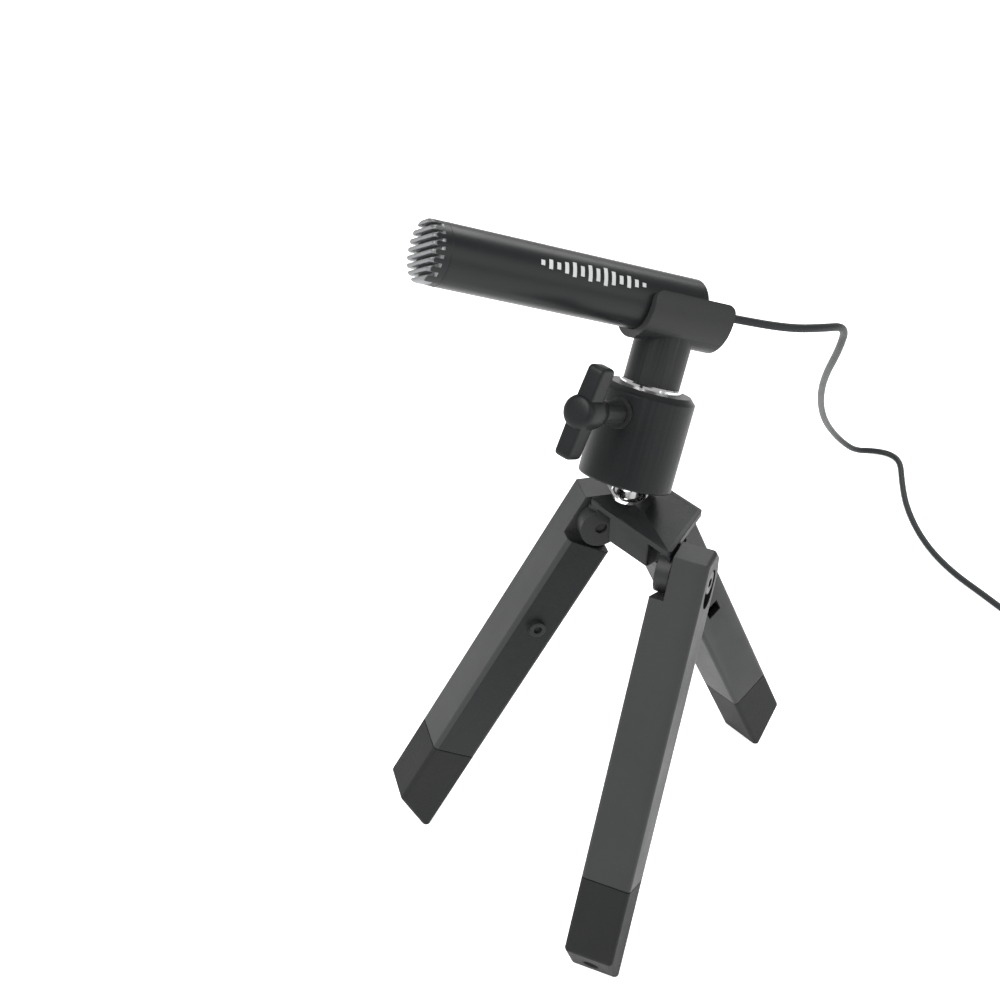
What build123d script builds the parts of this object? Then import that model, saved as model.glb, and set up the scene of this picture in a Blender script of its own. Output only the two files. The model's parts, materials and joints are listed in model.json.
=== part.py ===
"""Compact microphone in a snap clip, on a ball head and a folding pocket tripod, with its lead.

Millimetres, +Z up. The floor is z = 0 and the origin is under the middle of the object.
Each piece of the object is one solid (or one group of equal fasteners) in parts/NAME.step.
"""
from build123d import *
from math import cos, pi, radians, sin, tan
import os

os.makedirs("parts", exist_ok=True)

# ---------------------------------------------------------------- tripod, driving dimensions
HUB_X = 8.03                # hub reference point, seen from above
HUB_Y = 9.83
STANCE_HEIGHT = 97.8        # top of the hub plate above the floor
TRIPOD_AZIMUTH = 41.8       # direction of the middle leg, seen from above
LEG_SPREAD = 27.85          # angle of an opened leg from the folded one
PLATE_THICKNESS = 1.5
PLATE_REAR = -6.3           # straight rear edge of the plate, along the middle leg
PLATE_REAR_HALF = 13.6
PLATE_FRONT = 11.5
PLATE_FRONT_HALF = 6.4
PLATE_CORNER = 0.8
CORE_FRONT = -1.0           # block between the side legs, under the plate
CORE_HALF = 6.6
CORE_DEPTH = 8.0
BOSS_HEIGHT = 2.2           # low pyramid on the plate that carries the ball stud
BOSS_BASE_SCALE = 0.94
BOSS_TOP_SCALE = 0.36
HINGE_DROP = 7.2            # leg hinge below the plate top
SIDE_HINGE_X = -2.4
SIDE_HINGE_Y = 15.4
SIDE_LEG_AZIMUTH = 154.35   # from the middle leg
MIDDLE_HINGE_X = 5.8
LEG_WIDTH = 12.2
LEG_DEPTH = 12.0
LEG_WALL = 1.6
LEG_EDGE = 1.1              # rounding of the long edges
HEAD_RADIUS = 5.4           # inner round of the leg's head
HEAD_SHOULDER = 3.0         # height of its outer shoulder above the hinge
HEAD_FLAT = 1.2             # end of the shoulder's slope
SIDE_HEAD_SHOULDER = 4.6    # a side leg's head stands beside the plate, up to its top
SIDE_HEAD_PEAK = (0.2, 7.6)
SIDE_HEAD_INNER = (-3.4, 6.2)
SIDE_HEAD_HEEL = 2.0
LEG_TAPER = 9.0
SHELL_END = 74.8            # seam between the leg tube and its rubber foot, from the hinge
SEAM_GAP = 0.25
CAVITY_TOP = 14.0
FOOT_OUTER_END = 93.5       # the sole slants: short outside, long inside
FOOT_INNER_END = 101.5
FOOT_EDGE = 1.1
TENON_LENGTH = 8.0
TENON_CLEARANCE = 0.05
LUG_RADIUS = 5.2
LUG_HALF_BLOCK = 4.4
SIDE_LUG = (2.7, 6.1)       # span of a side lug across the leg, from the leg's middle
SIDE_SLOT_START = 2.4
MIDDLE_LUG_HALF = 2.3
MIDDLE_SLOT_HALF = 2.6
SLOT_DEPTH = 5.9            # below the hinge
HINGE_SCREW_RADIUS = 1.5
HINGE_RUNNING = 0.05
WASHER_RADIUS = 3.6
WASHER_THICKNESS = 0.26
POCKET_WIDTH = 6.4          # oblong pocket around the hinge screw's head
POCKET_LENGTH = 9.5
POCKET_DEPTH = 1.3
LATCH_DROP = 31.7           # latch peg and latch hole, from the hinge
LATCH_PEG_RADIUS = 2.1
LATCH_PEG_HEIGHT = 1.1
LATCH_HOLE = 4.0

# ---------------------------------------------------------------- ball head
STUD_X = -4.3               # ball stud, from the hub reference point
STUD_Y = 5.1
BALL_HEIGHT = 16.2          # ball centre above the plate top
BALL_RADIUS = 5.5
POST_RADIUS = 2.4
FLANGE_RADIUS = 4.4
FLANGE_THICKNESS = 1.2
STUD_THREAD_RADIUS = 2.45
HEAD_TILT = 26.5
HEAD_TILT_AZIMUTH = 61.2
HOUSING_RADIUS = 11.06
HOUSING_BOTTOM = -8.73      # along the head's own axis, from the ball centre
HOUSING_TOP = 13.68
HOUSING_CHAMFER = 1.3
SKIRT_BORE = 9.2
SEAT_BOTTOM = -5.2
SEAT_TOP = -1.2
CUP_BORE = 6.6
CUP_BORE_TOP = 9.6
CUP_BOTTOM = 2.6
CUP_TOP = 9.2
BALL_RUNNING = 0.05
KNOB_HEIGHT = 7.7
KNOB_AZIMUTH = 229.5        # in the head's own frame
KNOB_DISTANCE = 25.6        # wing centre from the head's axis
KNOB_HALF_LENGTH = 10.9
KNOB_WING_THICKNESS = 5.0
KNOB_WING_WIDTH = 3.5
KNOB_TURN = 7.9
KNOB_BOSS_RADIUS = 4.0
KNOB_SCREW_RADIUS = 2.0
COLLAR_RADIUS = 7.3         # bright collar of the camera screw
COLLAR_THICKNESS = 1.2
CAMERA_THREAD_RADIUS = 3.1

# ---------------------------------------------------------------- clip and microphone
MIC_HEIGHT = 33.03          # microphone axis above the ball centre, along the head's axis
MIC_AZIMUTH = 198.9
STEM_RADIUS = 6.6
CLIP_RADIUS = 8.94
CLIP_BORE = 7.05
CLIP_FRONT = 9.6
CLIP_REAR = -11.2
CLIP_WRAP = 114.0           # each side, from the bottom
CLIP_CORNER = 2.0
MIC_RADIUS = 7.0
MIC_FRONT = 63.2
MIC_REAR = -5.6
CAP_LENGTH = 4.5
BARREL_BORE = 6.2
REAR_CAP_FACE = 1.6
REAR_EDGE = 1.1
GRILLE_RIB_PITCH = 1.75
GRILLE_SLOT = 0.85
GRILLE_SLOT_DEPTH = 2.2
GRILLE_TURN = 16.6          # the ribs lean across the face
CAPSULE_RADIUS = 4.85
BOOT_RADIUS = 1.7
BOOT_LENGTH = 4.4

# ---------------------------------------------------------------- lead
CORD_RADIUS = 1.0
CORD_LENGTH = 1500.0
PLUG_BACK = 9.6             # free lead between the coil and the plug
COIL_X = 150.5
COIL_Y = 93.5
COIL_MEAN_RADIUS = 11.0
COIL_BAND = 8.0
COIL_HEIGHT = 9.0
PLUG_RADIUS = 4.0
PLUG_LENGTH = 16.0
PLUG_BOOT_LENGTH = 10.0
PLUG_BOOT_RADIUS = 2.2
PIN_RADIUS = 1.75
PIN_LENGTH = 14.0
CORD_FIRST_RUN = 6.5        # straight out of the boot
# From there the lead drops behind the object to the floor, makes one tight turn there and
# comes forward to the coil in a shallow curve.
CORD_ROUTE = [
    (39.0, 34.6, 134.8),
    (47.7, 39.8, 132.3),
    (55.1, 47.3, 128.8),
    (56.6, 58.0, 115.8),
    (59.3, 82.3, 92.8),
    (65.4, 110.8, 67.8),
    (73.3, 138.5, 43.8),
    (81.1, 159.2, 25.5),
    (88.2, 172.6, 12.5),
    (95.3, 180.2, 3.6),
    (103.0, 184.4, 1.0),
    (108.6, 182.8, 1.0),
    (111.3, 178.0, 1.0),
    (109.7, 165.7, 1.0),
    (108.8, 152.7, 1.0),
    (109.9, 139.4, 1.0),
    (112.8, 127.3, 1.0),
    (117.9, 116.2, 1.0),
    (125.0, 106.2, 1.0),
    (131.6, 96.2, 1.0),
]


def write(name, shape):
    """Write one node."""
    shape.label = name
    export_step(shape, f"parts/{name}.step")
    return shape


def bar(radius, low, high):
    """Round bar along Z from low to high."""
    return Pos(0, 0, (low + high) / 2) * Cylinder(radius, high - low)


def cross_bar(radius, low, high):
    """Round bar along Y from low to high."""
    low, high = min(low, high), max(low, high)
    return Pos(0, (low + high) / 2, 0) * Rot(90, 0, 0) * Cylinder(radius, high - low)


def block(x0, x1, y0, y1, z0, z1):
    """Box between two corners, given in either order."""
    centre = Pos((x0 + x1) / 2, (y0 + y1) / 2, (z0 + z1) / 2)
    return centre * Box(abs(x1 - x0), abs(y1 - y0), abs(z1 - z0))


# ---------------------------------------------------------------- frames of the assembly
hub_frame = Pos(HUB_X, HUB_Y, STANCE_HEIGHT)
tripod_frame = hub_frame * Rot(0, 0, TRIPOD_AZIMUTH)
stud_frame = hub_frame * Pos(STUD_X, STUD_Y, 0)

tilt = radians(HEAD_TILT)
lean = radians(HEAD_TILT_AZIMUTH)
head_axis = Vector(sin(tilt) * cos(lean), sin(tilt) * sin(lean), cos(tilt))
ball_centre = Vector(HUB_X + STUD_X, HUB_Y + STUD_Y, STANCE_HEIGHT + BALL_HEIGHT)
head_side = Vector(0, 1, 0).cross(head_axis).normalized()
head_frame = Plane(origin=ball_centre, x_dir=head_side, z_dir=head_axis).location
# Along the microphone: +Z is its front, +X is down, away from the microphone's open side.
mic_frame = head_frame * Pos(0, 0, MIC_HEIGHT) * Rot(0, 0, MIC_AZIMUTH) * Rot(0, 90, 0)
# Along the clamp screw: +X points out of the housing, +Z is the head's axis.
knob_frame = head_frame * Pos(0, 0, KNOB_HEIGHT) * Rot(0, 0, KNOB_AZIMUTH)

# name: hinge x, hinge y, azimuth, side of the hub across the leg (0: a lug in the middle)
LEGS = {
    "front": (SIDE_HINGE_X, -SIDE_HINGE_Y, -SIDE_LEG_AZIMUTH, -1),
    "right": (MIDDLE_HINGE_X, 0.0, 0.0, 0),
    "left": (SIDE_HINGE_X, SIDE_HINGE_Y, SIDE_LEG_AZIMUTH, 1),
}


def hinge_frame(leg):
    """Frame of a folded leg: the leg hangs along -Z and +X is its outer face."""
    x, y, azimuth, _ = LEGS[leg]
    return Pos(x, y, -HINGE_DROP) * Rot(0, 0, azimuth)


def leg_frame(leg):
    """The same frame on the opened leg."""
    return tripod_frame * hinge_frame(leg) * Rot(0, -LEG_SPREAD, 0)


# ---------------------------------------------------------------- tripod hub
def plate_outline(scale=1.0):
    """Four-sided outline of the hub plate, scaled about the ball stud."""
    corners = [
        (PLATE_REAR, -PLATE_REAR_HALF),
        (PLATE_FRONT, -PLATE_FRONT_HALF),
        (PLATE_FRONT, PLATE_FRONT_HALF),
        (PLATE_REAR, PLATE_REAR_HALF),
    ]
    stud = Vector(STUD_X, STUD_Y, 0).rotate(Axis.Z, -TRIPOD_AZIMUTH)
    scaled = [(stud.X + scale * (x - stud.X), stud.Y + scale * (y - stud.Y)) for x, y in corners]
    return make_face(Polyline(*scaled, close=True))


def hinge_lug(side):
    """Rounded lug that a leg turns on, in the leg's hinge frame."""
    start, end = SIDE_LUG
    span = (-MIDDLE_LUG_HALF, MIDDLE_LUG_HALF) if side == 0 else (side * start, side * end)
    disc = cross_bar(LUG_RADIUS, *span)
    web = block(-LUG_HALF_BLOCK, LUG_HALF_BLOCK, *span, 0, HINGE_DROP)
    return disc, web


def tripod_hub():
    plate = Pos(0, 0, -PLATE_THICKNESS) * extrude(plate_outline(), PLATE_THICKNESS)
    plate = fillet(plate.edges().filter_by(Axis.Z), PLATE_CORNER)
    boss = loft(
        [plate_outline(BOSS_BASE_SCALE), Pos(0, 0, BOSS_HEIGHT) * plate_outline(BOSS_TOP_SCALE)],
        ruled=True,
    )
    under_plate = Pos(0, 0, -HINGE_DROP) * extrude(plate_outline(), HINGE_DROP - PLATE_THICKNESS)
    hub = plate + boss
    for leg, (_, _, _, side) in LEGS.items():
        disc, web = hinge_lug(side)
        hub += hinge_frame(leg) * disc
        hub += (hinge_frame(leg) * web) & under_plate
    for leg in LEGS:
        hub -= hinge_frame(leg) * cross_bar(HINGE_SCREW_RADIUS, -LEG_WIDTH, LEG_WIDTH)
    hub += fillet(
        block(PLATE_REAR, CORE_FRONT, -CORE_HALF, CORE_HALF, -CORE_DEPTH, -0.5)
        .edges().filter_by(Axis.Z), 0.6
    )
    hub = tripod_frame * hub
    thread = STUD_THREAD_RADIUS + HINGE_RUNNING
    return hub - stud_frame * bar(thread, -HINGE_DROP, BOSS_HEIGHT + 1)


def hinge_screw(side):
    """Shoulder screw; its head sits in the pocket on the side away from the hub."""
    far = -side if side else 1
    floor = LEG_WIDTH / 2 - POCKET_DEPTH
    screw = cross_bar(HINGE_SCREW_RADIUS, far * floor, -far * (LEG_WIDTH / 2 - 0.5))
    screw += cross_bar(2.7, far * floor, far * (floor + 1.1))
    socket = Pos(0, far * (floor + 1.1), 0) * Rot(90, 0, 0)
    return screw - socket * extrude(RegularPolygon(1.3, 6), 0.7, both=True)


def friction_washers():
    """Thin plastic washers between the legs and the hub's lugs."""
    rings = []
    for leg, (_, _, _, side) in LEGS.items():
        if side:
            gap = side * (SIDE_SLOT_START + SIDE_LUG[0]) / 2
            centres = [gap]
        else:
            gap = (MIDDLE_LUG_HALF + MIDDLE_SLOT_HALF) / 2
            centres = [-gap, gap]
        for centre in centres:
            low, high = centre - WASHER_THICKNESS / 2, centre + WASHER_THICKNESS / 2
            ring = cross_bar(WASHER_RADIUS, low, high)
            ring -= cross_bar(HINGE_SCREW_RADIUS + HINGE_RUNNING, low - 1, high + 1)
            rings.append(tripod_frame * hinge_frame(leg) * ring)
    return Compound(children=rings)


# ---------------------------------------------------------------- legs
def leg_shell(leg):
    side = LEGS[leg][3]
    far = -side if side else 1
    radius = HEAD_RADIUS
    half = LEG_DEPTH / 2
    if side:
        outline = Polyline(
            SIDE_HEAD_PEAK, (half, SIDE_HEAD_SHOULDER), (half, -SHELL_END),
            (-half, -SHELL_END), (-half, SIDE_HEAD_HEEL), SIDE_HEAD_INNER, close=True,
        )
    else:
        outline = Polyline(
            (0, radius), (HEAD_FLAT, radius), (half, HEAD_SHOULDER), (half, -SHELL_END),
            (-half, -SHELL_END), (-half, -LEG_TAPER), (-radius, 0),
        ) + RadiusArc((-radius, 0), (0, radius), radius)
    shell = extrude(make_face(Plane.XZ * outline), LEG_WIDTH / 2, both=True)
    rim = shell.edges().filter_by(
        lambda e: abs(e.center().Y) > LEG_WIDTH / 2 - 0.01 and e.center().Z > -SHELL_END + 0.1
    )
    shell = fillet(rim, LEG_EDGE)
    inner_x = half - LEG_WALL
    inner_y = LEG_WIDTH / 2 - LEG_WALL
    shell -= block(-inner_x, inner_x, -inner_y, inner_y, -CAVITY_TOP, -SHELL_END - 1)
    if side:
        slot = (side * SIDE_SLOT_START, side * LEG_WIDTH)
    else:
        slot = (-MIDDLE_SLOT_HALF, MIDDLE_SLOT_HALF)
    shell -= block(-LEG_WIDTH, LEG_WIDTH, *slot, -SLOT_DEPTH, LEG_WIDTH)
    shell -= cross_bar(HINGE_SCREW_RADIUS + HINGE_RUNNING, -LEG_WIDTH, LEG_WIDTH)
    floor = far * (LEG_WIDTH / 2 - POCKET_DEPTH)
    reach = (POCKET_LENGTH - POCKET_WIDTH) / 2
    for drop in (0, 2 * reach):
        shell -= Pos(0, 0, -drop) * cross_bar(POCKET_WIDTH / 2, floor, far * LEG_WIDTH)
    shell -= block(
        -POCKET_WIDTH / 2, POCKET_WIDTH / 2, floor, far * LEG_WIDTH, -2 * reach, 0
    )
    if leg == "left":
        face = LEG_WIDTH / 2
        peg = cross_bar(LATCH_PEG_RADIUS, face - 0.5, face + LATCH_PEG_HEIGHT)
        peg -= cross_bar(LATCH_PEG_RADIUS / 2, face + LATCH_PEG_HEIGHT / 2, face + 2)
        shell += Pos(0, 0, -LATCH_DROP) * peg
    if leg == "right":
        hole = LATCH_HOLE / 2
        shell -= block(
            -hole, hole, -LEG_WIDTH, -inner_y + 0.1, -LATCH_DROP - hole, -LATCH_DROP + hole
        )
    return leg_frame(leg) * shell


def foot_screw():
    """Countersunk screw that holds the rubber foot, up along the leg."""
    head = bar(1.8, -91.0, -89.6) - bar(0.8, -91.5, -90.4)
    return head + bar(0.95, -89.6, -70.5)


def foot(leg):
    half = LEG_DEPTH / 2
    top = -SHELL_END - SEAM_GAP
    outline = Polyline(
        (half, top), (half, -FOOT_OUTER_END), (-half, -FOOT_INNER_END), (-half, top), close=True
    )
    rubber = extrude(make_face(Plane.XZ * outline), LEG_WIDTH / 2, both=True)
    rubber = fillet(rubber.edges().filter_by(lambda e: e.center().Z < top - 0.1), FOOT_EDGE)
    inner_x = half - LEG_WALL - TENON_CLEARANCE
    inner_y = LEG_WIDTH / 2 - LEG_WALL - TENON_CLEARANCE
    rubber += block(-inner_x, inner_x, -inner_y, inner_y, top - 0.5, -SHELL_END + TENON_LENGTH)
    rubber -= bar(2.0, -FOOT_INNER_END - 1, -89.6) + bar(0.95, -89.7, -60.0)
    rubber = leg_frame(leg) * rubber
    return rubber - Pos(0, 0, -LEG_WIDTH) * Box(400, 400, 2 * LEG_WIDTH)


# ---------------------------------------------------------------- ball head
def ball_stud():
    """Polished ball, post, flange and thread in one turned piece, upright on the hub."""
    stud = Pos(0, 0, BALL_HEIGHT) * Sphere(BALL_RADIUS)
    stud += bar(POST_RADIUS, BOSS_HEIGHT + 0.5, BALL_HEIGHT)
    flange_low = BOSS_HEIGHT + HINGE_RUNNING
    flange = bar(FLANGE_RADIUS, flange_low, flange_low + FLANGE_THICKNESS)
    stud += chamfer(flange.edges().group_by(Axis.Z)[-1], 0.4)
    stud += Pos(0, 0, flange_low + FLANGE_THICKNESS + 0.5) * Cone(3.6, POST_RADIUS, 1.0)
    stud += bar(STUD_THREAD_RADIUS, -PLATE_THICKNESS, BOSS_HEIGHT + 1)
    return stud_frame * stud


def head_housing():
    body = bar(HOUSING_RADIUS, HOUSING_BOTTOM, HOUSING_TOP)
    body = chamfer(body.edges().group_by(Axis.Z)[-1], HOUSING_CHAMFER)
    body = fillet(body.edges().group_by(Axis.Z)[0], 0.5)
    turned = Pos(0, 0, KNOB_HEIGHT) * Rot(0, 0, KNOB_AZIMUTH) * Rot(0, 90, 0)
    body += turned * bar(3.6, 8.0, HOUSING_RADIUS + 0.7)
    body -= bar(SKIRT_BORE, HOUSING_BOTTOM - 1, SEAT_TOP)
    body -= bar(CUP_BORE, SEAT_TOP - 0.1, CUP_BORE_TOP)
    body -= bar(2.45, CUP_BORE_TOP - 1, HOUSING_TOP + 1)
    body -= turned * bar(KNOB_SCREW_RADIUS + HINGE_RUNNING, 5.0, HOUSING_RADIUS + 2)
    return head_frame * body


def ball_seat():
    """Threaded ring under the ball, opening downward as a cone."""
    ring = bar(SKIRT_BORE - 0.02, SEAT_BOTTOM, SEAT_TOP)
    ring -= Sphere(BALL_RADIUS + BALL_RUNNING)
    mouth = -2.9
    ring -= Pos(0, 0, (mouth + SEAT_BOTTOM) / 2) * Cone(7.6, 4.73, mouth - SEAT_BOTTOM)
    for turn in (0, 180):
        ring -= Rot(0, 0, turn) * Pos(8.6, 0, SEAT_BOTTOM) * Cylinder(0.5, 3)
    return head_frame * ring


def brake_cup():
    """Plastic cup over the ball; the clamp screw's point drives it down by its slope."""
    cup = bar(CUP_BORE - 0.1, CUP_BOTTOM, CUP_TOP)
    cup = chamfer(cup.edges().group_by(Axis.Z)[-1], 2.6)
    return head_frame * (cup - Sphere(BALL_RADIUS + BALL_RUNNING))


def wing_knob():
    """Wing with rounded ends and a round boss, moulded around the clamp screw's head."""
    wing = Box(KNOB_WING_THICKNESS, KNOB_WING_WIDTH, 2 * KNOB_HALF_LENGTH)
    wing = fillet(wing.edges(), 0.8)
    turned = Rot(0, 90, 0)
    outer = KNOB_WING_THICKNESS / 2 + 1.4
    inner = KNOB_WING_THICKNESS / 2 + 3.5
    boss = fillet(bar(KNOB_BOSS_RADIUS, -inner, outer).edges(), 0.7)
    knob = Rot(-KNOB_TURN, 0, 0) * wing + turned * boss
    knob -= turned * bar(KNOB_SCREW_RADIUS, -inner - 1, 0)
    return knob_frame * Pos(KNOB_DISTANCE, 0, 0) * knob


def knob_screw():
    """Clamp screw with a pointed tip."""
    tip = 5.8
    turned = Rot(0, 90, 0)
    screw = bar(KNOB_SCREW_RADIUS, tip + KNOB_SCREW_RADIUS, KNOB_DISTANCE)
    screw += Pos(0, 0, tip + 1.15) * Cone(0.3, KNOB_SCREW_RADIUS, 1.7)
    collar_low = HOUSING_RADIUS + 1.0
    collar_high = KNOB_DISTANCE - KNOB_WING_THICKNESS / 2 - 3.5
    screw += bar(2.7, collar_low, collar_high)
    return knob_frame * turned * screw


def camera_screw():
    """Bright screw on the head's top that the clip's stem screws on to."""
    screw = bar(COLLAR_RADIUS, HOUSING_TOP, HOUSING_TOP + COLLAR_THICKNESS)
    screw = chamfer(screw.edges().group_by(Axis.Z)[-1], 0.35)
    screw += bar(CAMERA_THREAD_RADIUS, HOUSING_TOP, HOUSING_TOP + 7.5)
    screw += bar(2.4, CUP_BORE_TOP + 0.4, HOUSING_TOP + 0.5)
    return head_frame * screw


# ---------------------------------------------------------------- clip and microphone
def mic_clip():
    """Open snap trough on a round stem."""
    trough = bar(CLIP_RADIUS, CLIP_REAR, CLIP_FRONT) - bar(CLIP_BORE, CLIP_REAR - 1, CLIP_FRONT + 1)
    gap = radians(180 - CLIP_WRAP)
    far = 3 * CLIP_RADIUS
    wedge = Polyline(
        (0, 0), (-far * cos(gap), far * sin(gap)), (-far * cos(gap), -far * sin(gap)), close=True
    )
    opening = extrude(make_face(wedge), CLIP_FRONT - CLIP_REAR + 10, both=True)
    trough -= opening
    lips = trough.edges().filter_by(
        lambda e: e.geom_type == GeomType.LINE
        and 1.5 < e.length < 2.5
        and e.center().X < 0
    )
    trough = fillet(lips, CLIP_CORNER)
    stem = bar(STEM_RADIUS, HOUSING_TOP + COLLAR_THICKNESS, MIC_HEIGHT)
    stem -= bar(CAMERA_THREAD_RADIUS + 0.05, HOUSING_TOP, HOUSING_TOP + 8.5)
    stem = head_frame * stem - mic_frame * bar(CLIP_BORE, -20, 20)
    return stem + mic_frame * trough


def mic_barrel():
    front = MIC_FRONT - CAP_LENGTH
    rear = MIC_REAR + REAR_CAP_FACE
    return mic_frame * (bar(MIC_RADIUS, rear, front) - bar(BARREL_BORE, rear - 1, front + 1))


def rear_cap():
    face = bar(MIC_RADIUS, MIC_REAR, MIC_REAR + REAR_CAP_FACE)
    face = fillet(face.edges().group_by(Axis.Z)[0], REAR_EDGE)
    face += bar(BARREL_BORE - 0.03, MIC_REAR + REAR_CAP_FACE - 0.1, MIC_REAR + 5.5)
    face -= bar(BARREL_BORE - 1.5, MIC_REAR + REAR_CAP_FACE, MIC_REAR + 6)
    return mic_frame * (face - bar(BOOT_RADIUS, MIC_REAR - 1, MIC_REAR + 3))


def cord_boot():
    boot = bar(BOOT_RADIUS, MIC_REAR - BOOT_LENGTH, MIC_REAR + REAR_CAP_FACE)
    boot += bar(2.6, MIC_REAR + REAR_CAP_FACE, MIC_REAR + REAR_CAP_FACE + 1.2)
    return mic_frame * boot


def grille_cap():
    """Front cap with straight grooves across its face, open at the rim."""
    cap = bar(MIC_RADIUS, MIC_FRONT - CAP_LENGTH, MIC_FRONT)
    cap = fillet(cap.edges().group_by(Axis.Z)[-1], 0.8)
    cap += bar(BARREL_BORE - 0.03, MIC_FRONT - CAP_LENGTH - 2.5, MIC_FRONT - CAP_LENGTH + 0.1)
    cap -= bar(BARREL_BORE - 1.0, MIC_FRONT - CAP_LENGTH - 3, MIC_FRONT - 1.4)
    for row in range(-3, 4):
        offset = row * GRILLE_RIB_PITCH
        cap -= Rot(0, 0, GRILLE_TURN) * block(
            offset - GRILLE_SLOT / 2, offset + GRILLE_SLOT / 2,
            -MIC_RADIUS - 1, MIC_RADIUS + 1, MIC_FRONT - GRILLE_SLOT_DEPTH, MIC_FRONT + 1,
        )
    return mic_frame * cap


def grille_mesh():
    return mic_frame * bar(BARREL_BORE - 1.1, MIC_FRONT - 3.0, MIC_FRONT - 2.7)


def capsule():
    back = MIC_FRONT - 10.5
    case = bar(CAPSULE_RADIUS, back, back + 5.0)
    return mic_frame * (case - bar(0.5, back + 4.6, back + 6))


def capsule_holder():
    back = MIC_FRONT - 10.9
    ring = bar(BARREL_BORE - 0.05, back, back + 3.4) - bar(CAPSULE_RADIUS, back + 0.4, back + 4)
    return mic_frame * (ring - bar(2.0, back - 1, back + 1))


def circuit_board():
    return mic_frame * block(-0.4, 0.4, -4.0, 4.0, 30.0, 46.0)


# ---------------------------------------------------------------- lead
def corner_radii(points):
    """Largest arc at each corner that leaves a tenth of each run straight."""
    radii = []
    for before, corner, after in zip(points, points[1:], points[2:]):
        into, out = corner - before, after - corner
        half_turn = radians(into.get_angle(out)) / 2
        radii.append(0.45 * min(into.length, out.length) / tan(half_turn))
    return radii


def cord_path():
    boot_end = mic_frame * Pos(0, 0, MIC_REAR - BOOT_LENGTH)
    points = [boot_end.position, (boot_end * Pos(0, 0, -CORD_FIRST_RUN)).position]
    points += [Vector(*point) for point in CORD_ROUTE]
    radii = corner_radii(points)
    path = FilletPolyline(*points, radius=radii)
    runs = [(b - a).length for a, b in zip(points, points[1:])]
    print("cord runs", [round(run, 1) for run in runs])
    print("cord arc radii", [round(radius, 1) for radius in radii])
    print("cord tube length", round(path.length, 1), "corner to corner", round(sum(runs), 1))
    return path


def cord_run(path):
    tube = sweep(Plane(origin=path @ 0, z_dir=path % 0) * Circle(CORD_RADIUS), path=path)
    print("volume over section times length", tube.volume / (pi * CORD_RADIUS**2 * path.length))
    coil_length = CORD_LENGTH - path.length
    print("left for the coil", round(coil_length), "turns",
          round(coil_length / (2 * pi * COIL_MEAN_RADIUS), 1))
    return tube


def cord_coil(path):
    """The rest of the lead, wound up: one ring with the lead's two ends as stubs."""
    outer = COIL_MEAN_RADIUS + COIL_BAND / 2
    inner = COIL_MEAN_RADIUS - COIL_BAND / 2
    ring = bar(outer, 0, COIL_HEIGHT) - bar(inner, -1, COIL_HEIGHT + 1)
    ring = Pos(COIL_X, COIL_Y, 0) * fillet(ring.edges(), 0.9)
    lead_in = Plane(origin=path @ 1, z_dir=path % 1) * Circle(CORD_RADIUS)
    lead_out = plug_frame * Circle(CORD_RADIUS)
    return ring + extrude(lead_in, 10.0) + extrude(lead_out, -PLUG_BACK)


# The plug lies beside the coil and points along +Y.
plug_frame = Pos(COIL_X + COIL_MEAN_RADIUS + 3.0, COIL_Y + PLUG_BACK, PLUG_RADIUS) * Rot(-90, 0, 0)
PLUG_FACE = PLUG_BOOT_LENGTH + PLUG_LENGTH


def plug_boot():
    boot = bar(PLUG_BOOT_RADIUS, 0, PLUG_BOOT_LENGTH)
    return plug_frame * fillet(boot.edges().group_by(Axis.Z)[0], 0.5)


def plug_housing():
    shell = bar(PLUG_RADIUS, PLUG_BOOT_LENGTH, PLUG_FACE)
    return plug_frame * fillet(shell.edges(), 0.6)


def plug_sleeve():
    sleeve = bar(PIN_RADIUS, PLUG_FACE, PLUG_FACE + 7.6)
    return plug_frame * (sleeve - bar(1.0, PLUG_FACE - 1, PLUG_FACE + 8))


def plug_ring():
    ring = bar(PIN_RADIUS, PLUG_FACE + 8.4, PLUG_FACE + 9.9)
    return plug_frame * (ring - bar(1.0, PLUG_FACE, PLUG_FACE + 12))


def plug_insulators():
    rings = []
    for start in (7.6, 9.9):
        low = PLUG_FACE + start
        rings.append(plug_frame * (bar(PIN_RADIUS, low, low + 0.8) - bar(1.0, low - 1, low + 2)))
    return Compound(children=rings)


def plug_tip():
    low = PLUG_FACE + 10.7
    tip = bar(1.0, PLUG_FACE, low)
    tip += Pos(0, 0, low + 0.7) * Cone(PIN_RADIUS, 1.2, 1.4)
    tip += Pos(0, 0, low + 1.8) * Cone(1.2, PIN_RADIUS, 0.8)
    tip += Pos(0, 0, low + 2.75) * Cone(PIN_RADIUS, 0.6, 1.1)
    return plug_frame * tip


# ---------------------------------------------------------------- write every node
lead = cord_path()
NODES = {
    "tripod_hub": tripod_hub(),
    "friction_washers": friction_washers(),
    "ball_stud": ball_stud(),
    "head_housing": head_housing(),
    "ball_seat": ball_seat(),
    "brake_cup": brake_cup(),
    "wing_knob": wing_knob(),
    "knob_screw": knob_screw(),
    "camera_screw": camera_screw(),
    "mic_clip": mic_clip(),
    "mic_barrel": mic_barrel(),
    "rear_cap": rear_cap(),
    "cord_boot": cord_boot(),
    "grille_cap": grille_cap(),
    "grille_mesh": grille_mesh(),
    "capsule": capsule(),
    "capsule_holder": capsule_holder(),
    "circuit_board": circuit_board(),
    "cord_run": cord_run(lead),
    "cord_coil": cord_coil(lead),
    "plug_boot": plug_boot(),
    "plug_housing": plug_housing(),
    "plug_sleeve": plug_sleeve(),
    "plug_ring": plug_ring(),
    "plug_insulators": plug_insulators(),
    "plug_tip": plug_tip(),
}
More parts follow.
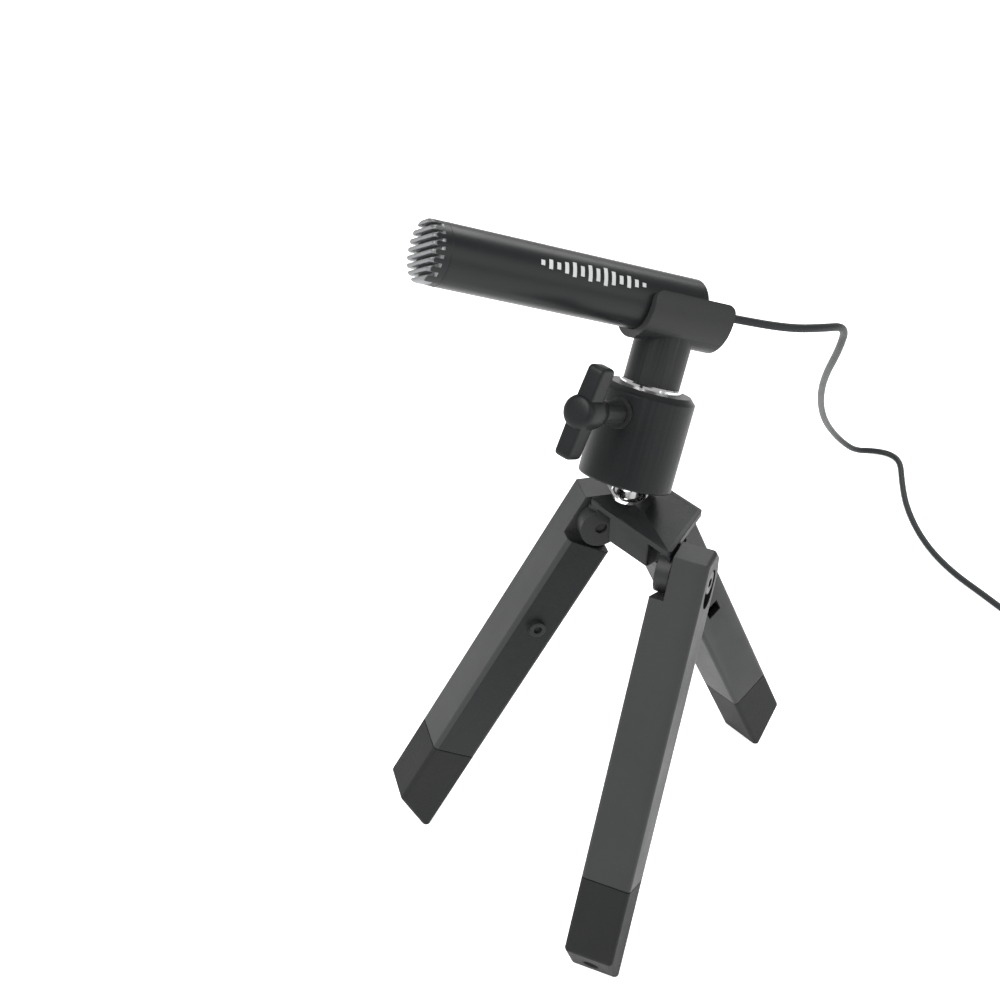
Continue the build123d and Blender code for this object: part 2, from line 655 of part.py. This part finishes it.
for leg_name in LEGS:
    NODES[f"leg_{leg_name}_shell"] = leg_shell(leg_name)
    NODES[f"leg_{leg_name}_foot"] = foot(leg_name)
    NODES[f"leg_{leg_name}_foot_screw"] = leg_frame(leg_name) * foot_screw()
    NODES[f"hinge_screw_{leg_name}"] = tripod_frame * hinge_frame(leg_name) * hinge_screw(
        LEGS[leg_name][3]
    )

CORD_NODES = {"cord_run", "cord_coil"} | {name for name in NODES if name.startswith("plug_")}
for name, shape in NODES.items():
    write(name, shape)

firm = [shape.bounding_box() for name, shape in NODES.items() if name not in CORD_NODES]
low = [min(getattr(box.min, axis) for box in firm) for axis in "XYZ"]
high = [max(getattr(box.max, axis) for box in firm) for axis in "XYZ"]
print("object low corner", [round(value, 2) for value in low])
print("object high corner", [round(value, 2) for value in high])
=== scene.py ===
"""Looks of the clip microphone on its pocket tripod.

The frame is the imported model's own, with +Z up. Sizes and places are in millimetres and angles
in degrees.
"""

import json
import math

import bmesh
import bpy
from mathutils import Matrix, Vector


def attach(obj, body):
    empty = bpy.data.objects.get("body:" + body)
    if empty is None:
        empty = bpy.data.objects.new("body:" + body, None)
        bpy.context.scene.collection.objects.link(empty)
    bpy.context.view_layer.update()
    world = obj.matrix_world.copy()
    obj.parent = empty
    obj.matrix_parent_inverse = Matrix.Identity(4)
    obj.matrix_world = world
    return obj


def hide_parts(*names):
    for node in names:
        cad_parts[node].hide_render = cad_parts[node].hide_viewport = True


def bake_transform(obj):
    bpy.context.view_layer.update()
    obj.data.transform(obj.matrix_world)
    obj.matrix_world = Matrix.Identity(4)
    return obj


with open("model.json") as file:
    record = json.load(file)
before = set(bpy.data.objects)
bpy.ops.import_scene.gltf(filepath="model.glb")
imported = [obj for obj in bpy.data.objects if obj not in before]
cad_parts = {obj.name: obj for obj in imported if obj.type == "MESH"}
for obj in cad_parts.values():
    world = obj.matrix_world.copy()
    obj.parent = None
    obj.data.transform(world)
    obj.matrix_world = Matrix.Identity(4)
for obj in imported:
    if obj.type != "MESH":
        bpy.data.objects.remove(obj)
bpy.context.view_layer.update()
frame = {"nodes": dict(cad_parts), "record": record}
MM = 0.001
scene = bpy.context.scene
NODES = frame["nodes"]

# ---------------------------------------------------------------- driving dimensions
BALL = Vector((3.73, 14.93, 114.0))
HEAD_TILT, HEAD_TILT_AZIMUTH = 26.5, 61.2
MIC_HEIGHT, MIC_AZIMUTH = 33.03, 198.9
MIC_FRONT, MIC_REAR, MIC_RADIUS = 63.2, -5.6, 7.0
KNOB_HEIGHT, KNOB_AZIMUTH = 7.7, 229.5
KNOB_DISTANCE, KNOB_TURN = 25.6, 7.9

CAMERA_PLACE = (-26.65, -311.56, 334.13)
CAMERA_DOWN, CAMERA_ROLL = 35.99, 2.05
CAMERA_LENS, CAMERA_SENSOR = 61.61, 36.0
CAMERA_NEAR, CAMERA_FAR = 0.01, 20.0   # metres

CORD_RADIUS = 1.0
BOOT_LENGTH, CORD_FIRST_RUN = 4.4, 6.5
# From its first run the lead drops behind the object to the floor, makes one tight turn
# there and comes forward to the coil in a shallow curve.
CORD_ROUTE = [
    (39.0, 34.6, 134.8),
    (47.7, 39.8, 132.3),
    (55.1, 47.3, 128.8),
    (56.6, 58.0, 115.8),
    (59.3, 82.3, 92.8),
    (65.4, 110.8, 67.8),
    (73.3, 138.5, 43.8),
    (81.1, 159.2, 25.5),
    (88.2, 172.6, 12.5),
    (95.3, 180.2, 3.6),
    (103.0, 184.4, 1.0),
    (108.6, 182.8, 1.0),
    (111.3, 178.0, 1.0),
    (109.7, 165.7, 1.0),
    (108.8, 152.7, 1.0),
    (109.9, 139.4, 1.0),
    (112.8, 127.3, 1.0),
    (117.9, 116.2, 1.0),
    (125.0, 106.2, 1.0),
    (131.6, 96.2, 1.0),
]
COIL_X, COIL_Y, COIL_OUTER = 150.5, 93.5, 14.0
COIL_LAYERS, COIL_TURNS, COIL_STEPS = 4, 4, 16   # layers, turns in each, points in a turn
COIL_PITCH, COIL_LOW = 2.03, 1.02
COIL_START = 222
COIL_CLIMB = 1.6       # a new layer is reached in 1 / 1.6 of a turn
SPLINE_SHRINK = 0.981  # the spline's radius over that of the COIL_STEPS points in a turn
COIL_EXIT_ANGLES, COIL_EXIT_HEIGHT = (245, 268, 290, 312, 335), 7.1
PLUG_RUN = [(164.5, 92.0, 6.6), (164.5, 96.5, 5.2), (164.5, 100.0, 4.0), (164.5, 103.2, 4.0)]


# ---------------------------------------------------------------- frames of the moving pieces
def rot(axis, degrees):
    return Matrix.Rotation(math.radians(degrees), 4, axis)


def at(x, y, z):
    return Matrix.Translation((x * MM, y * MM, z * MM))


tilt, lean = math.radians(HEAD_TILT), math.radians(HEAD_TILT_AZIMUTH)
HEAD_AXIS = Vector(
    (math.sin(tilt) * math.cos(lean), math.sin(tilt) * math.sin(lean), math.cos(tilt))
)
side = Vector((0, 1, 0)).cross(HEAD_AXIS).normalized()
HEAD = at(*BALL) @ Matrix((side, HEAD_AXIS.cross(side), HEAD_AXIS)).transposed().to_4x4()
# Microphone: +Z to its front, +X away from the clip's open side. Knob: +X out, +Z along the head.
MIC = HEAD @ at(0, 0, MIC_HEIGHT) @ rot("Z", MIC_AZIMUTH) @ rot("Y", 90)
KNOB = HEAD @ at(0, 0, KNOB_HEIGHT) @ rot("Z", KNOB_AZIMUTH)
KNOB_WING = KNOB @ at(KNOB_DISTANCE, 0, 0) @ rot("X", -KNOB_TURN)


# ---------------------------------------------------------------- camera
def look_camera():
    data = bpy.data.cameras.new("camera")
    camera = bpy.data.objects.new("camera", data)
    scene.collection.objects.link(camera)
    down, roll = math.radians(CAMERA_DOWN), math.radians(CAMERA_ROLL)
    forward = Vector((0, math.cos(down), -math.sin(down)))
    right = Vector((1, 0, 0))
    up = Vector((0, math.sin(down), math.cos(down)))
    across = right * math.cos(roll) + up * math.sin(roll)
    upright = up * math.cos(roll) - right * math.sin(roll)
    turn = Matrix((across, upright, -forward)).transposed().to_4x4()
    camera.matrix_world = at(*CAMERA_PLACE) @ turn
    data.lens = CAMERA_LENS
    data.sensor_width = CAMERA_SENSOR
    data.clip_start = CAMERA_NEAR
    data.clip_end = CAMERA_FAR
    scene.camera = camera


look_camera()


# ---------------------------------------------------------------- lead
def coil_point(angle, radius, height):
    return (COIL_X + radius * math.cos(angle), COIL_Y + radius * math.sin(angle), height)


def coil_line():
    """The put-away length: layers that wind inwards and outwards alternately."""
    layer_steps = COIL_TURNS * COIL_STEPS
    points = []
    for i in range(COIL_LAYERS * layer_steps + 1):
        layer = min(i // layer_steps, COIL_LAYERS - 1)
        along = (i - layer * layer_steps) / layer_steps
        inward = along if layer % 2 == 0 else 1 - along
        radius = (COIL_OUTER - (COIL_TURNS - 1) * COIL_PITCH * inward) / SPLINE_SHRINK
        rise = min(1.0, along * COIL_TURNS * COIL_CLIMB) if layer else 1.0
        height = COIL_LOW + (layer - 1 + rise) * COIL_PITCH
        angle = math.radians(COIL_START) + 2 * math.pi * i / COIL_STEPS
        points.append(coil_point(angle, radius, height))
    for degrees in COIL_EXIT_ANGLES:
        points.append(
            coil_point(math.radians(degrees), COIL_OUTER / SPLINE_SHRINK, COIL_EXIT_HEIGHT)
        )
    return points


def cord_line():
    """The lead's centre line: from the boot to the floor, forward, round its coil, to the plug."""
    boot_end = MIC_REAR - BOOT_LENGTH
    ends = [MIC @ Vector((0, 0, z * MM)) / MM for z in (boot_end, boot_end - CORD_FIRST_RUN)]
    return [tuple(end) for end in ends] + CORD_ROUTE + coil_line() + PLUG_RUN


def curve_mesh(thing):
    bpy.context.view_layer.update()
    graph = bpy.context.evaluated_depsgraph_get()
    return bpy.data.meshes.new_from_object(thing.evaluated_get(graph))


def cord_piece():
    """The lead as a smooth tube, with the points that it follows."""
    curve = bpy.data.curves.new("lead", "CURVE")
    curve.dimensions = "3D"
    spline = curve.splines.new("NURBS")
    points = cord_line()
    spline.points.add(len(points) - 1)
    for point, place in zip(spline.points, points):
        point.co = (place[0] * MM, place[1] * MM, place[2] * MM, 1)
    spline.order_u = 3
    spline.use_endpoint_u = True
    curve.resolution_u = 6
    thin = bpy.data.objects.new("lead_line", curve)
    scene.collection.objects.link(thin)
    path = [tuple(v.co) for v in curve_mesh(thin).vertices]
    curve.bevel_depth = CORD_RADIUS * MM
    curve.bevel_resolution = 4
    curve.use_fill_caps = True
    mesh = curve_mesh(thin)
    bpy.data.objects.remove(thin)
    piece = bpy.data.objects.new("lead", mesh)
    scene.collection.objects.link(piece)
    for face in mesh.polygons:
        face.use_smooth = True
    return piece, path


lead, lead_path = cord_piece()
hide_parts("cord_run", "cord_coil")
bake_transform(lead)


# ---------------------------------------------------------------- materials
BLOTCH_SCALE, BLOTCH_DETAIL = 90.0, 4.0
GRAIN_DETAIL, GRAIN_DEPTH = 3.0, 0.0002
RUB_FROM, RUB_FULL = 0.53, 0.60   # the pointiness where an edge starts to be rubbed, and is
SMOOTHEST = 0.02
BEVEL_SAMPLES = 6


def link(tree, a, b):
    tree.links.new(a, b)


def noise(tree, source, scale, detail):
    """A noise texture over the object's own coordinates."""
    texture = tree.nodes.new("ShaderNodeTexNoise")
    texture.inputs["Scale"].default_value = scale
    texture.inputs["Detail"].default_value = detail
    link(tree, source.outputs["Object"], texture.inputs["Vector"])
    return texture.outputs["Fac"]


def blend_colours(tree, factor):
    """A colour mix; returns its two colour inputs and its output."""
    mix = tree.nodes.new("ShaderNodeMix")
    mix.data_type = "RGBA"
    link(tree, factor, mix.inputs[0])
    return mix.inputs[6], mix.inputs[7], mix.outputs[2]


def rubbed(tree, colour, wear, wear_colour):
    """The colour with its sharp edges rubbed to another one."""
    edge = tree.nodes.new("ShaderNodeNewGeometry")
    sharp = tree.nodes.new("ShaderNodeMapRange")
    sharp.inputs["From Min"].default_value = RUB_FROM
    sharp.inputs["From Max"].default_value = RUB_FULL
    sharp.inputs["To Max"].default_value = wear
    link(tree, edge.outputs["Pointiness"], sharp.inputs["Value"])
    plain, worn, out = blend_colours(tree, sharp.outputs["Result"])
    worn.default_value = (*wear_colour, 1)
    link(tree, colour, plain)
    return out


def material(
    name, colour, rough, metallic=0.0, grain=900.0, bump=0.15, vary=0.15, rough_vary=0.08,
    specular=0.18, bevel=0.0, wear=0.0, wear_colour=(0.2, 0.2, 0.2),
):
    """Procedural surface: fine grain in the bump, soft blotches in colour and roughness,
    and, where asked, rounded and rubbed edges."""
    mat = bpy.data.materials.new(name)
    mat.use_nodes = True
    tree = mat.node_tree
    shader = tree.nodes["Principled BSDF"]
    shader.inputs["Metallic"].default_value = metallic
    shader.inputs["Specular IOR Level"].default_value = specular
    place = tree.nodes.new("ShaderNodeTexCoord")
    blotches = noise(tree, place, BLOTCH_SCALE, BLOTCH_DETAIL)
    low, high, out = blend_colours(tree, blotches)
    low.default_value = (*[c * (1 - vary) for c in colour], 1)
    high.default_value = (*[min(1.0, c * (1 + vary)) for c in colour], 1)
    if wear:
        out = rubbed(tree, out, wear, wear_colour)
    link(tree, out, shader.inputs["Base Color"])
    spread = tree.nodes.new("ShaderNodeMapRange")
    spread.inputs["To Min"].default_value = max(SMOOTHEST, rough - rough_vary)
    spread.inputs["To Max"].default_value = min(1.0, rough + rough_vary)
    link(tree, blotches, spread.inputs["Value"])
    link(tree, spread.outputs["Result"], shader.inputs["Roughness"])
    relief = tree.nodes.new("ShaderNodeBump")
    relief.inputs["Strength"].default_value = bump
    relief.inputs["Distance"].default_value = GRAIN_DEPTH
    link(tree, noise(tree, place, grain, GRAIN_DETAIL), relief.inputs["Height"])
    if bevel:
        soft = tree.nodes.new("ShaderNodeBevel")
        soft.samples = BEVEL_SAMPLES
        soft.inputs["Radius"].default_value = bevel
        link(tree, soft.outputs["Normal"], relief.inputs["Normal"])
    link(tree, relief.outputs["Normal"], shader.inputs["Normal"])
    return mat


M = {
    "shell": material("black_shell", (0.0084, 0.0095, 0.0098), 0.46, grain=2600, bump=0.22,
                      bevel=0.0003, wear=0.25, wear_colour=(0.09, 0.09, 0.09)),
    "head": material("black_head", (0.007, 0.0078, 0.0083), 0.42, grain=2400, bump=0.18,
                     bevel=0.0003, wear=0.2, wear_colour=(0.08, 0.08, 0.08)),
    "barrel": material("satin_black_barrel", (0.0077, 0.0084, 0.009), 0.36, grain=3500,
                       bump=0.08, bevel=0.0002, specular=0.24),
    # Grille ribs: partly the metal's own satin grey, partly painted light, kept lighter than the
    # barrel for the front-left light on the ribs.
    "grille": material("grille_metal", (0.15, 0.153, 0.157), 0.38, metallic=0.6, grain=2500,
                       bump=0.12, bevel=0.00015),
    "mesh": material("black_mesh", (0.012, 0.012, 0.013), 0.8, grain=5000, bump=0.9),
    "capsule": material("capsule_metal", (0.7, 0.7, 0.7), 0.3, metallic=1.0, grain=1500),
    "board": material("circuit_board", (0.03, 0.16, 0.07), 0.4, grain=1200),
    "chrome": material("chrome", (0.78, 0.78, 0.79), 0.10, metallic=1.0, grain=600,
                       bump=0.02, vary=0.03, rough_vary=0.04),
    "steel": material("zinc_steel", (0.42, 0.42, 0.41), 0.34, metallic=1.0, grain=1500,
                      bump=0.1, bevel=0.0001),
    "rubber": material("foot_rubber", (0.0105, 0.011, 0.0112), 0.66, grain=1800, bump=0.35,
                       bevel=0.0004, vary=0.2),
    "washer": material("washer_nylon", (0.72, 0.72, 0.69), 0.5, grain=1500),
    "cord": material("cord_rubber", (0.0155, 0.018, 0.019), 0.5, grain=1500, bump=0.2),
    "nickel": material("plug_nickel", (0.66, 0.65, 0.61), 0.18, metallic=1.0, grain=900,
                       bump=0.03),
    "gloss": material("plug_insulator", (0.02, 0.02, 0.02), 0.2, grain=900, bump=0.03),
    "dark_screw": material("black_oxide_steel", (0.03, 0.03, 0.03), 0.4, metallic=0.8,
                           grain=1500, bump=0.1, bevel=0.0001),
    "print": material("print_grey", (0.42, 0.43, 0.43), 0.55, grain=4000, bump=0.1, vary=0.25),
}
SLOT_LOOK = {
    "black_plastic": "shell", "satin_black": "barrel", "grille_metal": "grille",
    "mesh_cloth": "mesh", "capsule_metal": "capsule", "circuit_board": "board",
    "chrome": "chrome", "steel_screw": "steel", "foot_rubber": "rubber",
    "washer_plastic": "washer", "brake_plastic": "washer", "cord_rubber": "cord",
    "plug_metal": "nickel", "plug_insulator": "gloss",
}
HEAD_LOOK_NODES = ("head_housing", "mic_clip", "wing_knob", "tripod_hub", "knob_screw")
for part in frame["record"]["subparts"]:
    look = SLOT_LOOK[part["material_slot"]]
    if part["node"] in HEAD_LOOK_NODES:
        look = "head"
    if part["node"].startswith("hinge_screw"):
        look = "dark_screw"
    for slot in NODES[part["node"]].material_slots:
        slot.material = M[look]
lead.data.materials.append(M["cord"])


# ---------------------------------------------------------------- mesh helpers
MERGE_DISTANCE, AXIS_GAP = 1e-4, 1e-3
SHARP_ANGLE = 40


def piece_from(name, mesh_build, place, look, body, levels=0, angle=None):
    """A new piece: mesh_build fills a bmesh in millimetres in the local frame."""
    bm = bmesh.new()
    mesh_build(bm)
    bmesh.ops.remove_doubles(bm, verts=bm.verts, dist=MERGE_DISTANCE)
    bmesh.ops.recalc_face_normals(bm, faces=bm.faces)
    bm.transform(place @ Matrix.Scale(MM, 4))
    mesh = bpy.data.meshes.new(name)
    bm.to_mesh(mesh)
    bm.free()
    for face in mesh.polygons:
        face.use_smooth = True
    if angle is not None:
        mesh.set_sharp_from_angle(angle=math.radians(angle))
    mesh.materials.append(M[look])
    piece = bpy.data.objects.new(name, mesh)
    scene.collection.objects.link(piece)
    if levels:
        sub = piece.modifiers.new("rounding", "SUBSURF")
        sub.levels = sub.render_levels = levels
    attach(piece, body)
    return piece


def loft(bm, rings):
    """Closed skin over rings of equal length, with both ends capped."""
    made = [[bm.verts.new(p) for p in ring] for ring in rings]
    count = len(made[0])
    for a, b in zip(made, made[1:]):
        for i in range(count):
            j = (i + 1) % count
            bm.faces.new((a[i], a[j], b[j], b[i]))
    bm.faces.new(made[0][::-1])
    bm.faces.new(made[-1])


def lathe(bm, profile, steps):
    """Profile of (radius, height) pairs turned about Z."""
    rings = []
    for radius, height in profile:
        rings.append([
            (max(radius, AXIS_GAP) * math.cos(2 * math.pi * i / steps),
             max(radius, AXIS_GAP) * math.sin(2 * math.pi * i / steps), height)
            for i in range(steps)
        ])
    loft(bm, rings)


# ---------------------------------------------------------------- grille with rounded ribs
RIB_PITCH, RIB_COUNT, RIB_HALF, RIB_TURN = 1.75, 8, 0.5, 16.6
RIB_CROWN, RIB_STEPS = 0.42, 8     # height of the ellipse that rounds a rib
RIB_FLANK = 0.98                   # short of 1, so that a rib's sides stop just before upright
GROOVE_DEPTH, GROOVE_WALL = 2.1, 0.001
RIM_ROUNDING, RIM_DEPTH, RIM_INSET = 0.8, 4.45, 0.01
CHORD_STEPS = 40


def rib_rows():
    """(place across the ribs, drop below the face) of each row of the ribbed face."""
    rows = []
    for rib in range(RIB_COUNT):
        centre = (rib - (RIB_COUNT - 1) / 2) * RIB_PITCH
        for step in range(RIB_STEPS + 1):
            t = -1 + 2 * step / RIB_STEPS
            crown = math.sqrt(max(0.0, 1 - t * t * RIB_FLANK))
            rows.append((centre + RIB_HALF * t, -RIB_CROWN * (1 - crown)))
        rows.append((centre + RIB_HALF + GROOVE_WALL, -GROOVE_DEPTH))
        rows.append((centre + RIB_PITCH - RIB_HALF - GROOVE_WALL, -GROOVE_DEPTH))
    rows = [(x, z) for x, z in rows if abs(x) < MIC_RADIUS - 2 * RIM_INSET]
    first = (-MIC_RADIUS + RIM_INSET, rows[0][1])
    last = (MIC_RADIUS - RIM_INSET, rows[-1][1])
    return [first] + rows + [last]


def grille(bm, rim=False):
    """Ribbed face: rounded ribs, grooves open at the rim; rows run along the ribs. Or its rim."""
    grid = []
    for x, drop in rib_rows():
        chord = math.sqrt(MIC_RADIUS**2 - x * x)
        line = []
        for i in range(CHORD_STEPS + 1):
            y = chord * math.sin(math.pi / 2 * (-1 + 2 * i / CHORD_STEPS))
            edge = max(0.0, math.hypot(x, y) - (MIC_RADIUS - RIM_ROUNDING))
            fall = RIM_ROUNDING - math.sqrt(max(0.0, RIM_ROUNDING**2 - edge * edge))
            line.append(bm.verts.new((x, y, MIC_FRONT + drop - fall)))
        grid.append(line)
    if not rim:
        for a, b in zip(grid, grid[1:]):
            for i in range(CHORD_STEPS):
                bm.faces.new((a[i], a[i + 1], b[i + 1], b[i]))
        return
    base = MIC_FRONT - RIM_DEPTH
    for end in (0, CHORD_STEPS):
        feet = [bm.verts.new((line[end].co.x, line[end].co.y, base)) for line in grid]
        for i in range(len(grid) - 1):
            bm.faces.new((grid[i][end], grid[i + 1][end], feet[i + 1], feet[i]))


# The ribbed face takes the lighter grille look, which is partly painted light; its rim walls take
# the barrel's dark look.
grille_piece = piece_from(
    "grille_ribs", grille, MIC @ rot("Z", RIB_TURN), "grille", "microphone",
    angle=SHARP_ANGLE,
)
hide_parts("grille_cap")
piece_from(
    "grille_rim", lambda bm: grille(bm, True), MIC @ rot("Z", RIB_TURN), "barrel", "microphone",
    angle=SHARP_ANGLE,
)


# ---------------------------------------------------------------- wing knob
WING_HALF, WING_TIP = 10.9, 0.9             # half its length, and how much of it rounds off
WING_THICK, WING_THICK_LOSS = 2.9, 0.15     # half thickness at the middle, and its loss at the tip
WING_WIDE, WING_WIDE_LOSS = 2.2, 0.10
WING_TIP_KEEP = 0.55                        # the part of its section that is left at the tip
WING_SQUARENESS = 0.3                       # 1 is an ellipse, 0 a box
WING_STATIONS, WING_POINTS = 22, 28
BOSS_STEPS = 48
BOSS_PROFILE = [
    (0, 3.7), (2.8, 3.6), (3.6, 3.2), (3.95, 2.4), (4.0, 1.0), (4.0, -2.4),
    (3.7, -3.2), (3.3, -4.2), (3.1, -5.9), (0, -5.9),
]


def wing(bm):
    rings = []
    for i in range(WING_STATIONS + 1):
        z = WING_HALF * math.sin(math.pi / 2 * (-1 + 2 * i / WING_STATIONS))
        s = abs(z) / WING_HALF
        past = max(0.0, (abs(z) - (WING_HALF - WING_TIP)) / WING_TIP)
        end = math.sqrt(max(0.0, 1 - past ** 2))
        keep = WING_TIP_KEEP + (1 - WING_TIP_KEEP) * end
        thick = (WING_THICK - WING_THICK_LOSS * s) * keep
        wide = (WING_WIDE - WING_WIDE_LOSS * s) * keep
        ring = []
        for j in range(WING_POINTS):
            angle = 2 * math.pi * j / WING_POINTS
            c, d = math.cos(angle), math.sin(angle)
            ring.append((
                thick * math.copysign(abs(c) ** WING_SQUARENESS, c),
                wide * math.copysign(abs(d) ** WING_SQUARENESS, d),
                z,
            ))
        rings.append(ring)
    loft(bm, rings)


wing_piece = piece_from("wing", wing, KNOB_WING, "head", "clamp_knob", levels=1)
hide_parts("wing_knob")
piece_from(
    "wing_boss", lambda bm: lathe(bm, BOSS_PROFILE, BOSS_STEPS), KNOB_WING @ rot("Y", 90), "head",
    "clamp_knob", levels=1,
)

# ---------------------------------------------------------------- printed level marks
MARK_TURN, MARK_START, MARK_STEP, MARK_WIDTH = 121.0, 12.0, 1.95, 0.95
MARK_BARS = [1.0, 1.8, 2.8, 2.0, 3.2, 4.2, 3.0, 3.8, 2.4, 3.4, 2.6, 1.6, 2.2, 1.2]
MARK_STRIPS = 6
PRINT_THICKNESS = 0.012


def printed(bm):
    """Thin bars laid round the barrel's surface, like a level display."""
    radius = MIC_RADIUS + PRINT_THICKNESS
    for i, height in enumerate(MARK_BARS):
        centre = MARK_START + i * MARK_STEP
        rows = []
        for z in (centre - MARK_WIDTH / 2, centre + MARK_WIDTH / 2):
            row = []
            for j in range(MARK_STRIPS + 1):
                spread = (height / radius) * (j / MARK_STRIPS - 0.5)
                angle = math.radians(MARK_TURN) + spread
                row.append(bm.verts.new((radius * math.cos(angle), radius * math.sin(angle), z)))
            rows.append(row)
        for j in range(MARK_STRIPS):
            bm.faces.new((rows[0][j], rows[0][j + 1], rows[1][j + 1], rows[1][j]))


piece_from("level_marks", printed, MIC, "print", "microphone")


# ---------------------------------------------------------------- floor and light, in metres
FLOOR_REACH, FLOOR_DROP = 6, 0.0002
FLOOR_WHITE, FLOOR_GLOW = 0.93, 0.6
SKY_STRENGTH = 0.5
WHITE = (1, 1, 1, 1)


def floor():
    mesh = bpy.data.meshes.new("floor")
    bm = bmesh.new()
    corners = [
        bm.verts.new((x * FLOOR_REACH, y * FLOOR_REACH, -FLOOR_DROP))
        for x, y in ((-1, -1), (1, -1), (1, 1), (-1, 1))
    ]
    bm.faces.new(corners)
    bm.to_mesh(mesh)
    bm.free()
    ob = bpy.data.objects.new("floor", mesh)
    scene.collection.objects.link(ob)
    mat = bpy.data.materials.new("floor_white")
    mat.use_nodes = True
    shader = mat.node_tree.nodes["Principled BSDF"]
    shader.inputs["Base Color"].default_value = (FLOOR_WHITE, FLOOR_WHITE, FLOOR_WHITE, 1)
    shader.inputs["Roughness"].default_value = 0.9
    shader.inputs["Specular IOR Level"].default_value = 0.0
    shader.inputs["Emission Color"].default_value = WHITE
    shader.inputs["Emission Strength"].default_value = FLOOR_GLOW
    mesh.materials.append(mat)


def backdrop():
    """A soft white sky for the light, and pure white where the camera sees past the floor."""
    world = bpy.data.worlds.new("studio")
    scene.world = world
    world.use_nodes = True
    tree = world.node_tree
    sky = tree.nodes["Background"]
    sky.inputs["Color"].default_value = WHITE
    sky.inputs["Strength"].default_value = SKY_STRENGTH
    white = tree.nodes.new("ShaderNodeBackground")
    white.inputs["Color"].default_value = WHITE
    seen = tree.nodes.new("ShaderNodeLightPath")
    both = tree.nodes.new("ShaderNodeMixShader")
    link(tree, seen.outputs["Is Camera Ray"], both.inputs[0])
    link(tree, sky.outputs[0], both.inputs[1])
    link(tree, white.outputs[0], both.inputs[2])
    link(tree, both.outputs[0], tree.nodes["World Output"].inputs["Surface"])


def area(name, place, target, size, watts):
    data = bpy.data.lights.new(name, "AREA")
    data.shape = "RECTANGLE"
    data.size, data.size_y = size
    data.energy = watts
    ob = bpy.data.objects.new(name, data)
    scene.collection.objects.link(ob)
    place, target = Vector(place), Vector(target)
    aim = (target - place).to_track_quat("-Z", "Y").to_matrix().to_4x4()
    ob.matrix_world = Matrix.Translation(place) @ aim


floor()
backdrop()
scene.view_settings.view_transform = "Standard"
area("key", (-0.5, -0.35, 0.9), (0.0, 0.0, 0.1), (0.7, 0.7), 12)
area("fill", (0.7, -0.6, 0.6), (0.0, 0.0, 0.08), (0.8, 0.8), 4)
area("rim", (0.2, 0.9, 0.8), (0.0, 0.0, 0.1), (0.8, 0.5), 7)
